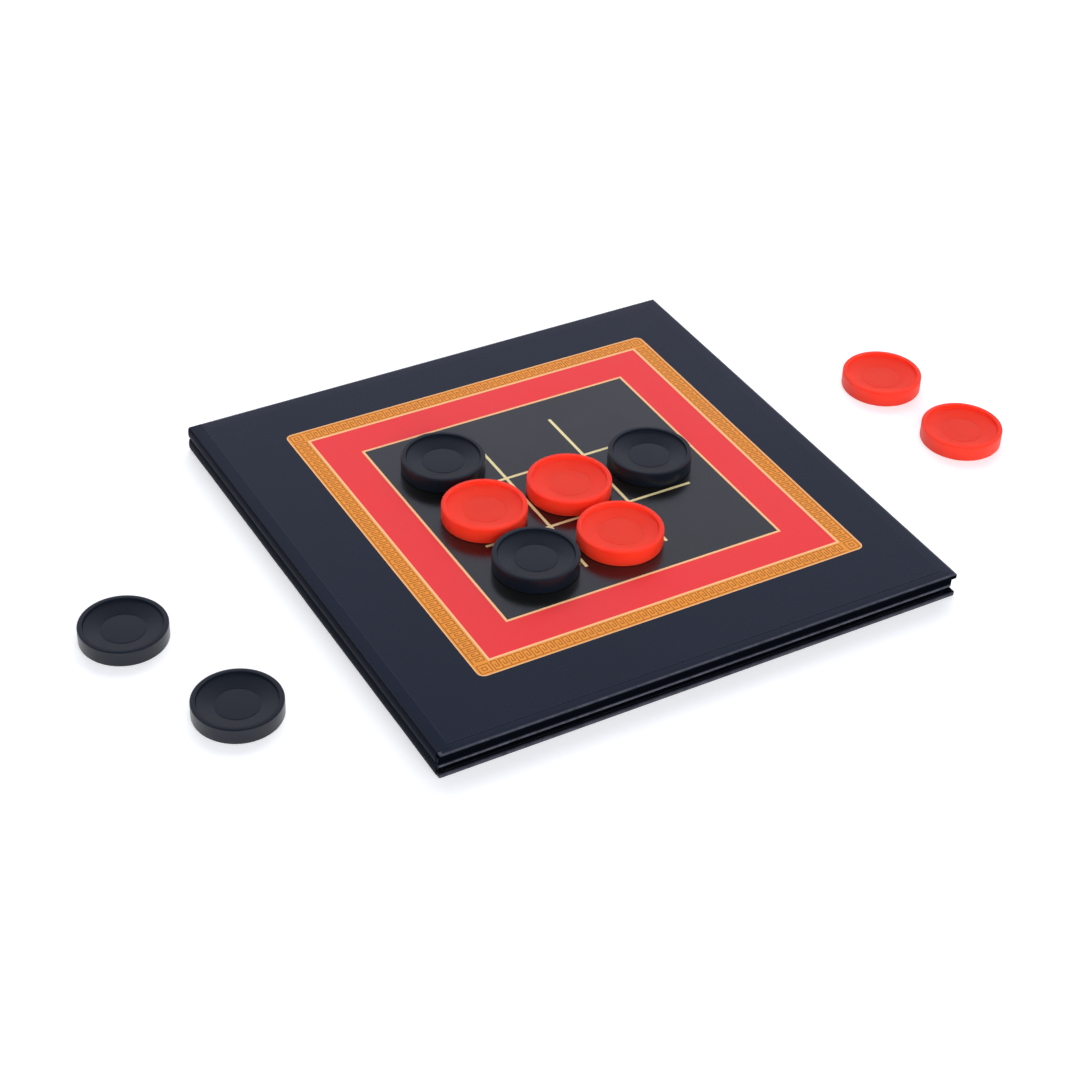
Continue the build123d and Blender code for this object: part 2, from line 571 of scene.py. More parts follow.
def copies(points, motif, **more):
    """Real copies of a motif on points."""
    placed = add_value(
        points.tree, "GeometryNodeInstanceOnPoints", Points=points, Instance=motif, **more
    )
    return add_value(points.tree, "GeometryNodeRealizeInstances", Geometry=placed)


def centred(given, geometry):
    """A geometry moved to the centre that is given."""
    return add_value(
        geometry.tree, "GeometryNodeTransform", Geometry=geometry, Translation=given["Centre"]
    )


def turned_profile_tree():
    """Turns an outline in the XZ plane round the Z axis and puts it in its place."""
    tree, given = new_growth("Turned Profile", Outline_Points=2, Segments=64)
    columns = given["Segments"] + 1.0
    net = add_value(
        tree, "GeometryNodeMeshGrid", Vertices_X=given["Outline Points"], Vertices_Y=columns
    )
    index = add_value(tree, "GeometryNodeInputIndex")
    outline = add_value(
        tree, "GeometryNodeSampleIndex", {"data_type": "FLOAT_VECTOR"},
        Geometry=given["Geometry"], Value=add_value(tree, "GeometryNodeInputPosition"),
        Index=(index / columns).math("FLOOR"),
    )
    turned = add_value(
        tree, "ShaderNodeVectorRotate", {"rotation_type": "Z_AXIS"},
        Vector=outline, Angle=index % columns * math.tau / given["Segments"],
    )
    place = add_value(
        tree, "ShaderNodeVectorMath", {"operation": "ADD"}, _0=turned, _1=given["Centre"]
    )
    body = add_value(tree, "GeometryNodeSetPosition", Geometry=net, Position=place)
    closed = add_value(tree, "GeometryNodeMergeByDistance", Geometry=body, Distance=0.001 * MM)
    return close_growth(given, add_value(tree, "GeometryNodeSetShadeSmooth", Geometry=closed))


def square_repeat_tree():
    """Repeats a motif in a row along each side of a square."""
    tree, given = new_growth("Repeat Round Square", Count=1, Pitch=0.0, Offset=0.0, Layer_Rise=0.0)
    count, pitch = given["Count"], given["Pitch"]
    places = add_value(
        tree, "GeometryNodeMeshLine", Count=count, Offset=vector(tree, X=pitch),
        Start_Location=vector(tree, X=(count - 1.0) * pitch * -0.5, Y=given["Offset"] * -1.0),
    )
    row = copies(places, given["Geometry"])
    sides = add_value(tree, "GeometryNodeMeshLine", Count=4, Offset=(0, 0, 0))
    index = add_value(tree, "GeometryNodeInputIndex")
    rise = vector(tree, Z=index % 2.0 * given["Layer Rise"])
    sides = add_value(tree, "GeometryNodeSetPosition", Geometry=sides, Offset=rise)
    turned = add_value(
        tree, "FunctionNodeEulerToRotation", Euler=vector(tree, Z=index * (math.pi / 2))
    )
    return close_growth(given, centred(given, copies(sides, row, Rotation=turned)))


def chequer_tree():
    """Puts a plate on every second square of a square net."""
    tree, given = new_growth("Chequer", Squares=4, Side=0.04, First=0)
    squares = given["Squares"]
    span = (squares - 1.0) * given["Side"]
    net = add_value(
        tree, "GeometryNodeMeshGrid",
        Size_X=span, Size_Y=span, Vertices_X=squares, Vertices_Y=squares,
    )
    index = add_value(tree, "GeometryNodeInputIndex")
    parity = ((index / squares).math("FLOOR") + index % squares) % 2.0
    chosen = parity.math("COMPARE", given["First"], 0.1)
    return close_growth(given, centred(given, copies(net, given["Geometry"], Selection=chosen)))


def grow(name, source, tree_name, **values):
    """Run a tree on a source mesh and keep the result as a plain mesh object."""
    tree = shared(tree_name)
    piece = add_object(name, source)
    modifier = piece.modifiers.new(tree_name, "NODES")
    modifier.node_group = tree
    for socket in tree.interface.items_tree:
        key = socket.name.replace(" ", "_")
        if socket.in_out == "INPUT" and key in values:
            modifier[socket.identifier] = values[key]
    evaluated = piece.evaluated_get(bpy.context.evaluated_depsgraph_get())
    result = bpy.data.meshes.new_from_object(evaluated)
    piece.modifiers.remove(modifier)
    piece.data = result
    result.name = name
    if not result.polygons:
        raise RuntimeError(f"{tree_name} made no faces for {name}")
    return piece


# Shared node groups of the materials

def new_group(name, **inputs):
    """An empty shader node group that reads a place on the object."""
    return new_tree(name, "ShaderNodeTree", Coordinates="Vector", **inputs)


def toned(plain, tone):
    """A colour under a tone."""
    return add_value(
        tone.tree, "ShaderNodeVectorMath", {"operation": "SCALE"}, _0=plain, Scale=tone
    )


def mixed(share_of_second, first, second):
    """A colour between two."""
    return add_value(
        share_of_second.tree, "ShaderNodeMix", {"data_type": "RGBA"}, output=2,
        _0=share_of_second, _6=first, _7=second,
    )


def paper_surface_group():
    """Paper: the height of fine fibres, a tone round 1 in broad patches, and where it is rubbed."""
    group, given = new_group("Paper Surface", Fibres_per_Metre=1800.0, Patchiness=0.06)
    place = given["Coordinates"]
    patches = place.noise(38.0, 2.0) - 0.5
    return close_tree(
        group,
        Height=place.noise(given["Fibres per Metre"], 4.0, 0.6),
        Tone=patches * (given["Patchiness"] * 2.0) + 1.0,
        Rub=place.noise(11.0, 6.0, 0.72).remap(0.35, 0.75),
    )


def edge_wear_and_light_group():
    """Where a flat piece is rubbed and carries a painted highlight along its edges, and where its
    two faces are, 0 to 1.
    """
    group, given = new_group(
        "Edge Wear and Painted Light", Centre_X=0.0, Centre_Y=0.0, Half_X=0.1, Half_Y=0.1, Foot=0.0, Top=0.002,
        Width=0.0005, Rounding=0.0007, Face_Level=0.002, Other_Face_Level=NO_LEVEL,
    )
    place = given["Coordinates"].split()
    inset_x, inset_y = (
        given[f"Half {axis}"] - abs(place[axis] - given[f"Centre {axis}"]) for axis in "XY"
    )
    inset = inset_x.math("MINIMUM", inset_y)
    off_foot, off_top, off_face, off_other_face = (
        abs(place["Z"] - given[level])
        for level in ("Foot", "Top", "Face Level", "Other Face Level")
    )
    off_edge = add_value(
        group, "ShaderNodeVectorMath", {"operation": "LENGTH"}, output="Value",
        _0=vector(group, X=inset, Y=off_foot.math("MINIMUM", off_top)),
    )
    # The rubbed line, which also carries a painted highlight
    near = (off_edge / given["Width"]).remap(0.55, 1.0, 1.0, 0.0)
    broken = given["Coordinates"].noise(240.0, 5.0, 0.65).remap(0.30, 0.60, 0.45, 1.0)
    # The faces; away from them the painted shade of the sides is used
    flat = (inset / given["Rounding"]).remap(0.3, 1.0)
    level = off_face.math("MINIMUM", off_other_face).remap(0.3 * MM, 0.8 * MM, 1.0, 0.0)
    return close_tree(group, Wear=near * broken, Face=flat * level)


def ink_group():
    """Printed ink: its colour with slight unevenness, how rough it is, and its grain."""
    group, given = new_group("Printed Ink", Colour=(1, 1, 1, 1), Unevenness=0.08, Gloss=0.34)
    place = given["Coordinates"]
    grain, drift = place.noise(1500.0, 2.0), place.noise(55.0, 3.0)
    tone = (grain * 0.45 + drift * 0.55 - 0.5) * (given["Unevenness"] * 4.0) + 1.0
    return close_tree(
        group,
        Colour=toned(given["Colour"], tone),
        Roughness=given["Gloss"] + drift.remap(0.3, 0.7, 0.0, 0.1),
        Height=grain,
    )


def weave_group():
    """Plain weave of fine threads: a height from 0 to 1."""
    group, given = new_group("Book Cloth Weave", Thread_Pitch=0.0004)
    place, pitch = given["Coordinates"].split(), given["Thread Pitch"]
    sway = given["Coordinates"].noise(90.0, 2.0) * 1.4
    x, y, z = (((place[axis] / pitch + sway) * math.pi).math("SINE") for axis in "XYZ")
    return close_tree(group, Height=(abs(x * y) + abs(y * z)) * 0.5)


def moulded_group():
    """Moulded plastic: faint flow patches in the colour, scuffs in the gloss, and a fine skin."""
    group, given = new_group("Moulded Plastic", Colour=(1, 1, 1, 1), Gloss=0.3)
    place = given["Coordinates"]
    tone = place.noise(70.0, 2.0).remap(0.3, 0.7, 0.93, 1.06)
    scuffs = place.noise(130.0, 3.0, 0.5).remap(0.56, 0.74, 0.0, 0.08)
    return close_tree(
        group,
        Colour=toned(given["Colour"], tone),
        Roughness=given["Gloss"] + scuffs,
        Height=place.noise(900.0, 3.0, 0.55),
    )


SHARED = {
    "Turned Profile": turned_profile_tree,
    "Repeat Round Square": square_repeat_tree,
    "Chequer": chequer_tree,
    "Paper Surface": paper_surface_group,
    "Edge Wear and Painted Light": edge_wear_and_light_group,
    "Printed Ink": ink_group,
    "Book Cloth Weave": weave_group,
    "Moulded Plastic": moulded_group,
}


def shared(name):
    """A node group or tree that is built once."""
    return bpy.data.node_groups.get(name) or SHARED[name]()


# Materials

class Finish:
    """A material under construction, with its surface shader and its object coordinates."""

    def __init__(self, name, **values):
        self.material = bpy.data.materials.new(name)
        self.material.use_nodes = True
        self.tree = self.material.node_tree
        self.surface = self.tree.nodes["Principled BSDF"]
        self.place = add_value(self.tree, "ShaderNodeTexCoord", output="Object")
        self.feed(**values)

    def feed(self, **values):
        """Give the surface plain or changing values."""
        fill(self.surface, **values)

    def group(self, name, **values):
        """Place a shared group that reads the object coordinates."""
        return named_values(add_node(
            self.tree, "ShaderNodeGroup", {"node_tree": shared(name)},
            Coordinates=self.place, **values,
        ))

    def bump(self, height, distance, strength):
        """Raise the surface by a height map."""
        self.feed(Normal=add_value(
            self.tree, "ShaderNodeBump", Height=height, Distance=distance, Strength=strength
        ))


def cover_finish(name, look, low, high, worn_and_lit_share, woven=False, sides=None, **edge_and_face_masks):
    """Dark cover, navy on its outer face, rubbed along its edges at two heights, with a painted
    highlight on the rubbed line.

    Its sides, and its faces away from the given face levels, carry a painted shade: black and matt,
    or the colour and the gloss that are given.
    """
    finish = Finish(name)
    paper = finish.group("Paper Surface", Fibres_per_Metre=1600.0, Patchiness=0.08)
    centre, half = (Vector(low) + Vector(high)) / 2, (Vector(high) - Vector(low)) / 2
    edge = finish.group(
        "Edge Wear and Painted Light", Centre_X=centre.x, Centre_Y=centre.y, Half_X=half.x, Half_Y=half.y, **edge_and_face_masks
    )
    # The rubbed wear together with the painted highlight along the edges
    rubbed_and_lit = edge["Wear"] * worn_and_lit_share
    face_colour, face_gloss = (look.cloth_colour, 0.2) if woven else (look.cover_colour, 0.28)
    side_colour, side_gloss = sides or (look.side_colour, 0.0)
    # Painted shade: off its faces the cover takes a much darker colour than the same paper on its
    # face
    plain = mixed(edge["Face"], (*side_colour, 1.0), (*face_colour, 1.0))
    gloss = edge["Face"].remap(0.0, 1.0, side_gloss, face_gloss)
    finish.feed(
        Base_Color=mixed(rubbed_and_lit, toned(plain, paper["Tone"]), (*look.rubbed_and_highlight_colour, 1.0)),
        Roughness=paper["Rub"].remap(0.0, 1.0, 0.24, 0.33),
        Specular_IOR_Level=gloss.math("MAXIMUM", rubbed_and_lit * 0.06),
    )
    if woven:
        threads = finish.group("Book Cloth Weave", Thread_Pitch=0.36 * MM)
        finish.bump(threads["Height"], 0.015 * MM, 0.4)
    else:
        finish.bump(paper["Height"], 0.005 * MM, 0.25)
    return finish.material


def card_finish(name, tint, fibres, roughness):
    """Uncoated card with visible fibres."""
    finish = Finish(name, Roughness=roughness, Specular_IOR_Level=0.3)
    paper = finish.group("Paper Surface", Fibres_per_Metre=fibres, Patchiness=0.2)
    specks = paper["Height"].remap(0.35, 0.65, 0.8, 1.15)
    finish.feed(Base_Color=toned(tuple(tint), specks * paper["Tone"]))
    finish.bump(paper["Height"], 0.05 * MM, 0.7)
    return finish.material


def ink_finish(name, tint, unevenness=0.05, gloss=0.34, specular=0.4):
    """One printed ink, which is made once."""
    if name in bpy.data.materials:
        return bpy.data.materials[name]
    finish = Finish(name, Specular_IOR_Level=specular)
    ink = finish.group("Printed Ink", Colour=(*tint, 1.0), Unevenness=unevenness, Gloss=gloss)
    finish.feed(Base_Color=ink["Colour"], Roughness=ink["Roughness"])
    finish.bump(ink["Height"], 0.006 * MM, 0.5)
    return finish.material


def plastic_finish(name, tint, gloss, glow, specular):
    """Moulded plastic, slightly see-through near its surface where glow is above 0."""
    finish = Finish(
        name, Specular_IOR_Level=specular, Subsurface_Weight=glow,
        Subsurface_Radius=(1.0, 0.25, 0.12), Subsurface_Scale=3.5 * MM,
    )
    plastic = finish.group("Moulded Plastic", Colour=(*tint, 1.0), Gloss=gloss)
    finish.feed(Base_Color=plastic["Colour"], Roughness=plastic["Roughness"])
    finish.bump(plastic["Height"], 0.004 * MM, 0.2)
    return finish.material


def repaint(node_name, material):
    """Give a CAD node a better material."""
    for slot in frame["nodes"][node_name].material_slots:
        slot.material = material


# Operators

class GAMEBOARD_OT_studio(bpy.types.Operator):
    """Camera at the photograph's angle, two large soft lamps, a pale room and a pale floor"""
    bl_idname = "gameboard.studio"
    bl_label = "Studio"

    def camera(self, look):
        data = bpy.data.cameras.new("Camera")
        data.lens, data.sensor_width = look.lens, SENSOR_WIDTH
        data.clip_start, data.clip_end = NEAREST_SEEN, FARTHEST_SEEN
        bpy.context.scene.camera = camera = add_object("Camera", data)
        tilt = Euler((math.pi / 2 - look.elevation, 0.0, look.azimuth)).to_matrix().to_4x4()
        camera.matrix_world = (
            Matrix.Translation(Vector(look.target)) @ tilt @ Matrix.Rotation(look.roll, 4, "Z")
            @ Matrix.Translation((0.0, 0.0, look.distance))
        )

    def lamps(self, look):
        for name, power, place in (
            ("Front Lamp", look.front_power, look.front_place),
            ("Back Lamp", look.back_power, look.back_place),
        ):
            data = bpy.data.lights.new(name, "AREA")
            data.shape, data.size, data.energy = "SQUARE", look.lamp_side, power
            lamp = add_object(name, data)
            lamp.location = place
            lamp.visible_glossy = False
            lamp.rotation_euler = Vector(place).to_track_quat("Z", "Y").to_euler()

    def surroundings(self, look):
        """A bright bluish band at middle height, darker overhead and behind the camera."""
        world = bpy.data.worlds.new("Pale Room")
        world.use_nodes = True
        bpy.context.scene.world = world
        tree = world.node_tree
        direction = add_value(tree, "ShaderNodeTexCoord", output="Generated")
        ramp = add_node(tree, "ShaderNodeValToRGB", Fac=direction.split()["Z"])
        elements = ramp.color_ramp.elements
        while len(elements) < len(ROOM_TINTS):
            elements.new(0.5)
        for element, (position, tint) in zip(elements, ROOM_TINTS):
            element.position = position
            element.color = (*tint, 1.0)
        towards_camera = add_value(
            tree, "ShaderNodeVectorMath", {"operation": "DOT_PRODUCT"}, output="Value",
            _0=direction, _1=(math.sin(look.azimuth), -math.cos(look.azimuth), 0.0),
        )
        fill(
            tree.nodes["Background"], Color=Value(ramp.outputs["Color"]),
            Strength=towards_camera.remap(0.15, 0.75, 1.0, look.behind_camera),
        )

    def floor(self, look):
        """A floor that adds plain white where it is seen, and still takes shadows."""
        finish = Finish(
            "Pale Floor", Base_Color=(*look.floor_colour, 1.0), Roughness=0.6,
            Specular_IOR_Level=0.2,
        )
        path = named_values(add_node(finish.tree, "ShaderNodeLightPath"))
        mirrored = path["Is Glossy Ray"].math("MAXIMUM", path["Is Transmission Ray"])
        seen = path["Is Camera Ray"].math("MAXIMUM", mirrored)
        plain = add_value(
            finish.tree, "ShaderNodeEmission", Color=(1, 1, 1, 1), Strength=seen * look.backdrop
        )
        blend = add_value(
            finish.tree, "ShaderNodeAddShader", _0=Value(finish.surface.outputs[0]), _1=plain
        )
        fill(finish.tree.nodes["Material Output"], Surface=blend)
        reach, depth = 14.0, 0.02
        square = [(-reach, -reach), (reach, -reach), (reach, reach), (-reach, reach)]
        slab = loft([[(*corner, z) for corner in square] for z in (-depth, 0.0)])
        make_piece("floor", slab, finish.material)

    def execute(self, context):
        look = context.scene.studio_look
        self.camera(look)
        self.lamps(look)
        self.surroundings(look)
        self.floor(look)
        context.scene.view_settings.view_transform = "Standard"
        return {"FINISHED"}


class GAMEBOARD_OT_bindings(bpy.types.Operator):
    """Edge paper that wraps each panel, and the tucks that close the lips' left ends"""
    bl_idname = "gameboard.bindings"
    bl_label = "Panel Bindings"

    def section(self, look, foot, top):
        """Insets and heights round the wrapped edge: over, down, under, and back inside."""
        edge, lap, paper = look.edge_rounding, look.turned_in, look.paper
        outside, inside = edge_profile(foot, top, edge), edge_profile(foot, top, edge, paper)
        return [
            (lap, top), *outside, (lap, foot),
            (lap, foot + paper), *reversed(inside), (lap, top - paper),
        ]

    def execute(self, context):
        look = context.scene.board_look
        for panel in PANELS:
            low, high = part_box(f"{panel}_binding")
            # The top panel's rubbed line is raised to sit as a painted highlight on its top edge
            level = high.z + TOP_WEAR_AND_HIGHLIGHT_RISE if panel == "top_panel" else low.z
            width, wear_and_highlight_strength = PANEL_WEAR_AND_HIGHLIGHT[panel]
            # Off the outer face the paper takes the painted shade of the sides, as on the bottom
            # panel's front ledge; the rubbed line carries a painted highlight
            finish = cover_finish(
                f"{panel} Edge Paper", look, low, high, wear_and_highlight_strength, Foot=level, Top=level, Width=width,
                Rounding=look.edge_rounding, Face_Level=high.z if panel in OUTER_FACE_UP else low.z,
            )
            points, faces = loft([
                rounded_loop(low, high, inset, look.corner_rounding, height)
                for inset, height in self.section(look, low.z, high.z)
            ], joined_ends=True)
            binding = make_piece(f"{panel}_wrapped_edge", (points, turned_over(faces)), finish)
            fit_to_body(binding, panel, [f"{panel}_binding"])
            if panel in LIPPED_PANELS:
                self.tuck(panel, look, finish, low, high)
        return {"FINISHED"}

    def tuck(self, panel, look, finish, low, high):
        """The cover's turned-in end beside the spine, on the panel's front lip."""
        spine = "lower_spine" if panel == "bottom_panel" else "upper_spine"
        spine_low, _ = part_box(f"{spine}_cloth")
        set_back, reach_in, hidden, gap = 0.3 * MM, 2.4 * MM, 0.03 * MM, 0.02 * MM
        slab = rounded_slab(
            (spine_low.x + set_back, low.y + hidden, low.z + hidden),
            (low.x + reach_in, spine_low.y - gap, high.z - hidden),
            look.corner_rounding, look.edge_rounding,
        )
        fit_to_body(make_piece(f"{panel}_corner_tuck", slab, finish), panel)


class GAMEBOARD_OT_sheets(bpy.types.Operator):
    """Finishes of the cards, the pasted sheets and the spines' liners"""
    bl_idname = "gameboard.sheets"
    bl_label = "Cards and Sheets"

    def execute(self, context):
        look = context.scene.board_look
        card = card_finish("Grey Card", look.card_colour, fibres=900.0, roughness=0.85)
        liner = card_finish("Black Card", look.liner_colour, fibres=1200.0, roughness=0.6)
        for panel in PANELS:
            repaint(f"{panel}_card", card)
            for face in ("outer", "game"):
                low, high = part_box(f"{panel}_{face}_sheet")
                # A faint rubbed line with a painted highlight round each sheet's edge
                repaint(f"{panel}_{face}_sheet", cover_finish(
                    f"{panel} {face} Sheet", look, low, high, worn_and_lit_share=0.1,
                    Foot=low.z, Top=high.z, Width=0.35 * MM, Rounding=0.02 * MM,
                    Face_Level=low.z if face == "outer" else NO_LEVEL,
                ))
        for spine in SPINE_FOLDS:
            repaint(f"{spine}_liner", liner)
        return {"FINISHED"}


class GAMEBOARD_OT_spine_covers(bpy.types.Operator):
    """Cloth that bends round both creases of each spine"""
    bl_idname = "gameboard.spine_covers"
    bl_label = "Spine Covers"

    def half_section(self, look, bulge, rise):
        """Half of a cover in section: inwards and upwards from the lower crease."""
        r, thick, face = look.crease_rounding, look.cloth, 0.02 * MM
        middle, bend_top = rise / 2, face + r

        def bulged(v):
            return -bulge * (1 - ((v - middle) / middle) ** 2)

        bend = reversed(quarter((r, bend_top), r, 180, steps=8))
        outside = [(x + bulged(max(z, 0.0)) * (1 - x / r if x < r else 0.0), z) for x, z in bend]
        climb_steps = 5
        for step in range(1, climb_steps + 1):
            v = bend_top + (middle - face - r) * step / climb_steps
            outside.append((bulged(v), v))
        deep, slant = 0.28 * MM, 0.12 * MM
        inside = [
            (deep, middle), (deep, bend_top + thick), (deep + slant, face + 1.5 * thick),
            (r + thick, face + thick), (SPINE_LAP, face + thick),
        ]
        return [(SPINE_LAP, face), *outside, *inside]

    def strip(self, look, section, start, end, place):
        """Draw a section out along a spine, with a slight wave in its outer side."""
        steps, outer_side = 72, 0.1 * MM
        loops = []
        for step in range(steps + 1):
            along = start + (end - start) * step / steps
            loop = []
            for u, v in section:
                wave = sum(
                    strength * noise.noise(Vector((along * rate, v * WAVES_UP, seed)))
                    for rate, seed, strength in CLOTH_WAVES
                )
                loop.append(place(u + wave * look.unevenness * (u < outer_side), v, along))
            loops.append(loop)
        return loft(loops)

    def execute(self, context):
        look = context.scene.board_look
        joints = {joint["name"]: joint for joint in frame["joints"]}
        lip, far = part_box("top_panel_binding")
        for spine, fold in SPINE_FOLDS.items():
            low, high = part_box(f"{spine}_cloth")
            is_front = spine == "front_spine"
            if is_front:
                across, near, start, end = 1, low, low.x, high.x
                sides, faces_at = None, (NO_LEVEL, NO_LEVEL)
                # Front spine: a painted shade over the whole cover, and a wide painted highlight
                # along its lower crease
                level, width, wear_and_highlight_strength = low.z, 1.6 * MM, 1.0
            else:
                across, near, start, end = 0, (low.x, lip.y, low.z), low.y, high.y
                sides = (look.spine_shaded_side_colour, look.spine_side_gloss)
                faces_at = (high.z, low.z)
                # Left spines: a faint rubbed line with a painted highlight along the upper crease
                level, width, wear_and_highlight_strength = high.z, 0.8 * MM, 0.04
            finish = cover_finish(
                f"{spine} Cloth", look, near, (far.x, far.y, high.z), wear_and_highlight_strength, woven=True,
                sides=sides, Foot=level, Top=level, Width=width,
                Rounding=2 * look.crease_rounding,
                Face_Level=faces_at[0], Other_Face_Level=faces_at[1],
            )
            first, second = joints[fold], joints[f"{fold}_second_crease"]
            crease = first["pos_m"][across]
            section = self.half_section(look, crease - low[across], high.z - low.z)
            for is_upper, panel in enumerate((first["parent"], second["child"])):

                def place(u, v, along):
                    height = high.z - v if is_upper else low.z + v
                    return (along, crease + u, height) if is_front else (crease + u, along, height)

                points, faces = self.strip(look, section, start, end, place)
                if is_front == is_upper:
                    faces = turned_over(faces)
                half = "upper" if is_upper else "lower"
                cover = make_piece(f"{spine}_{half}_crease_cover", (points, faces), finish)
                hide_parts(f"{spine}_cloth")
                place(BEND_REACH, 0.0, 0.0)
                place(0.0, BEND_REACH, 0.0)
                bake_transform(cover)
        return {"FINISHED"}


class GAMEBOARD_OT_grid_print(bpy.types.Operator):
    """Bands, lines and grid that are printed on the top panel"""
    bl_idname = "gameboard.grid_print"
    bl_label = "Grid Print"

    def execute(self, context):
        look = context.scene.print_look
        foot, low_ink, high_ink = ink_levels("top_panel_outer_sheet", look.ink)
        outer, middle, inner = look.outer_side, look.middle_side, look.inner_side
        outer_line, middle_line, inner_line = look.outer_line, look.middle_line, look.inner_line

        def ring(outside, inside, top, corner=INK_CORNER):
            return flat_ring(look.centre, outside, inside, corner, foot, top)

        half = Vector((1, 1)) * (inner - inner_line) / 2
        centre = Vector(look.centre)
        for name, ink, parts in (
            ("orange_band_print", ink_finish("Orange Ink", look.orange), [
                ring(outer - 2 * outer_line, middle + middle_line, low_ink,
                     look.outer_corner - outer_line),
            ]),
            ("red_band_print", ink_finish("Red Ink", look.red), [
                ring(middle - middle_line, inner + inner_line, low_ink),
            ]),
            ("border_lines_print", ink_finish("Cream Ink", look.cream), [
                ring(outer, outer - 2 * outer_line, high_ink, look.outer_corner),
                ring(middle + middle_line, middle - middle_line, high_ink),
                ring(inner + inner_line, inner - inner_line, high_ink),
            ]),
            ("grid_ground_print", ink_finish("Dark Ink", look.field, gloss=0.18, specular=0.86), [
                flat_plate(centre - half, centre + half, foot, low_ink),
            ]),
        ):
            fit_to_body(make_piece(name, joined(parts), ink), "top_panel")
        half_line = Vector((look.grid_length, look.grid_line)) / 2
        line = flat_plate(-half_line, half_line, foot, high_ink)
        fit_to_body(grow(
            "grid_lines_print", source_mesh("grid_line", *line), "Repeat Round Square",
            Count=1, Offset=look.grid_pitch / 2, Layer_Rise=look.ink / 4,
            Centre=(*look.grid_centre, 0.0), Material=ink_finish("Yellow Ink", look.yellow),
        ), "top_panel")
        return {"FINISHED"}


class GAMEBOARD_OT_key_border(bpy.types.Operator):
    """Running key pattern on the orange band"""
    bl_idname = "gameboard.key_border"
    bl_label = "Key Border"

    def execute(self, context):
        look = context.scene.print_look
        foot, _, top = ink_levels("top_panel_outer_sheet", look.ink)
        band_outside = look.outer_side / 2 - look.outer_line
        band_inside = look.middle_side / 2 + look.middle_line / 2
        height, line, end_gap = look.key_height, look.key_line, 0.4 * MM
        count = int((2 * band_inside - height) / look.key_pitch)
        pitch = (2 * band_inside - end_gap) / count
        near, far = 0.34, 0.68  # the inner turns' shares of the pitch and of the height
        key = [(pitch / 2 - line / 2, -height / 2)] + [
            (-pitch / 2 + pitch * along, -height / 2 + height * up)
            for along, up in ((0, 0), (0, 1), (far, 1), (far, near), (near, near), (near, far))
        ]
        shared_values = {
            "Offset": (band_outside + band_inside) / 2, "Centre": (*look.centre, 0.0),
            "Material": ink_finish("Brown Ink", look.brown, unevenness=0.12),
        }
        fit_to_body(grow(
            "key_border_print", source_mesh("key", *stroke_plate(key, line, foot, top)),
            "Repeat Round Square", Count=count, Pitch=pitch, **shared_values,
        ), "top_panel")
        small_square, rounding = height * 0.42, 0.1 * MM
        corner = joined([
            flat_ring((shared_values["Offset"], 0), side, side - 2 * line, rounding, foot, top)
            for side in (height, small_square)
        ])
        fit_to_body(grow(
            "key_corners_print", source_mesh("key_corner", *corner),
            "Repeat Round Square", Count=1, **shared_values,
        ), "top_panel")
        return {"FINISHED"}


class GAMEBOARD_OT_game_print(bpy.types.Operator):
    """Chequered board on the four inner faces, a quarter on each"""
    bl_idname = "gameboard.game_print"
    bl_label = "Game Print"

    def execute(self, context):
        look, inks = context.scene.game_look, context.scene.print_look
        inset = 0.5 * MM
        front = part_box("lower_middle_panel_game_sheet")[0].y
        span, half = 4 * look.square, look.square / 2
        edge = span + look.margin
        for panel in PANELS:
            sheet = f"{panel}_game_sheet"
            faces_down = panel in OUTER_FACE_UP
            foot, low_ink, high_ink = ink_levels(sheet, inks.ink, faces_down)
            low_levels, high_levels = sorted((foot, low_ink)), sorted((foot, high_ink))
            corner = Vector((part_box(sheet)[0].x + inset, front + inset))
            field = flat_plate(corner, corner + Vector((span, span)), *low_levels)
            fit_to_body(make_piece(
                f"{panel}_light_squares", field, ink_finish("Game Red Ink", look.light)
            ), panel)
            plate = flat_plate((-half, -half), (half, half), *high_levels)
            fit_to_body(grow(
                f"{panel}_dark_squares", source_mesh("square", *plate), "Chequer",
                Squares=4, Side=look.square, First=1 if faces_down else 0,
                Centre=(*(corner + Vector((span, span)) / 2), 0.0),
                Material=ink_finish("Game Black Ink", look.dark),
            ), panel)
            path = [corner + Vector(step) for step in ((edge, 0), (edge, edge), (0, edge))]
            fit_to_body(make_piece(
                f"{panel}_game_border", stroke_plate(path, look.line, *high_levels),
                ink_finish("Cream Ink", inks.cream),
            ), panel)
        return {"FINISHED"}


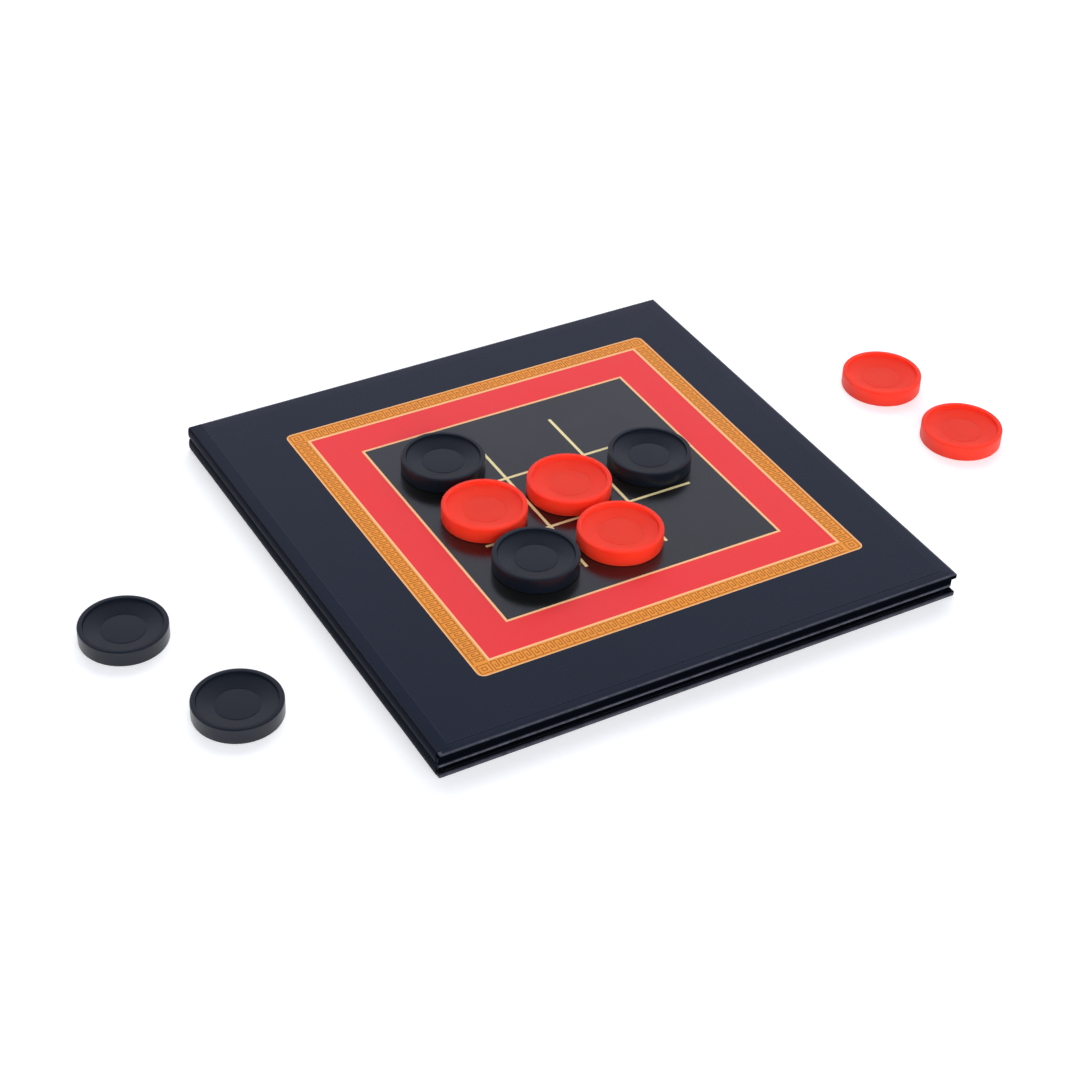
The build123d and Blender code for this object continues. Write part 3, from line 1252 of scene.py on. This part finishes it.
class GAMEBOARD_OT_discs(bpy.types.Operator):
    """Dished playing discs, five red and five black"""
    bl_idname = "gameboard.discs"
    bl_label = "Playing Discs"

    def outline(self, radius, height, look):
        """The outline from the middle of the foot, round the wall, to the middle of the top."""
        rim_inside = radius - look.rim
        # Corners from the wall's middle in to the axis, 0 at the face, and each round's reach
        face = softened([
            ((radius, -height / 2), 0.0),
            ((radius, 0.0), look.edge_rounding),
            ((rim_inside, 0.0), 0.2 * MM),
            ((rim_inside - look.lean, -look.inner_wall), 0.25 * MM),
            ((look.middle + 0.15 * MM, -look.dish_depth), 0.1 * MM),
            ((look.middle, -look.dish_depth - look.groove), 0.08 * MM),
            ((look.middle - 0.2 * MM, -look.dish_depth), 0.1 * MM),
            ((0.0, -look.dish_depth), 0.0),
        ])
        bottom = [(x, 0.0, -z) for x, z in reversed(face[1:])]
        return bottom + [(x, 0.0, height + z) for x, z in face]

    def execute(self, context):
        look = context.scene.disc_look
        finishes = {
            "red": plastic_finish("Red Plastic", look.red, gloss=0.48, glow=0.8, specular=0.34),
            "black": plastic_finish(
                "Black Plastic", look.black, gloss=0.32, glow=0.0, specular=0.42
            ),
        }
        for disc in DISCS:
            low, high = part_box(disc)
            shade = disc.split("_")[0]
            points = self.outline((high.y - low.y) / 2, high.z - low.z, look)
            edges = [(index, index + 1) for index in range(len(points) - 1)]
            piece = grow(
                f"{disc}_moulding", source_mesh("disc_outline", points, edges=edges),
                "Turned Profile", Outline_Points=len(points), Segments=look.segments,
                Centre=((low.x + high.x) / 2, (low.y + high.y) / 2, low.z),
                Material=finishes[shade],
            )
            fit_to_body(piece, disc, [disc])
        return {"FINISHED"}


OPERATORS = (
    GAMEBOARD_OT_studio,
    GAMEBOARD_OT_bindings,
    GAMEBOARD_OT_sheets,
    GAMEBOARD_OT_spine_covers,
    GAMEBOARD_OT_grid_print,
    GAMEBOARD_OT_key_border,
    GAMEBOARD_OT_game_print,
    GAMEBOARD_OT_discs,
)


class GAMEBOARD_PT_pieces(bpy.types.Panel):
    """Everything that the board and its discs are made of"""
    bl_idname = "GAMEBOARD_PT_pieces"
    bl_label = "Game Board"
    bl_space_type = "VIEW_3D"
    bl_region_type = "UI"
    bl_category = "Game Board"

    def draw(self, context):
        for operator in OPERATORS:
            self.layout.operator(operator.bl_idname)


CLASSES = (*SETTINGS.values(), *OPERATORS, GAMEBOARD_PT_pieces)


def register():
    for cls in CLASSES:
        bpy.utils.register_class(cls)
    for name, group in SETTINGS.items():
        setattr(bpy.types.Scene, name, PointerProperty(type=group))


def unregister():
    for name in SETTINGS:
        delattr(bpy.types.Scene, name)
    for cls in reversed(CLASSES):
        bpy.utils.unregister_class(cls)


def main():
    """Register the add-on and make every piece."""
    register()
    for operator in OPERATORS:
        getattr(bpy.ops.gameboard, operator.bl_idname.split(".")[1])()


if __name__ == "__main__":
    main()
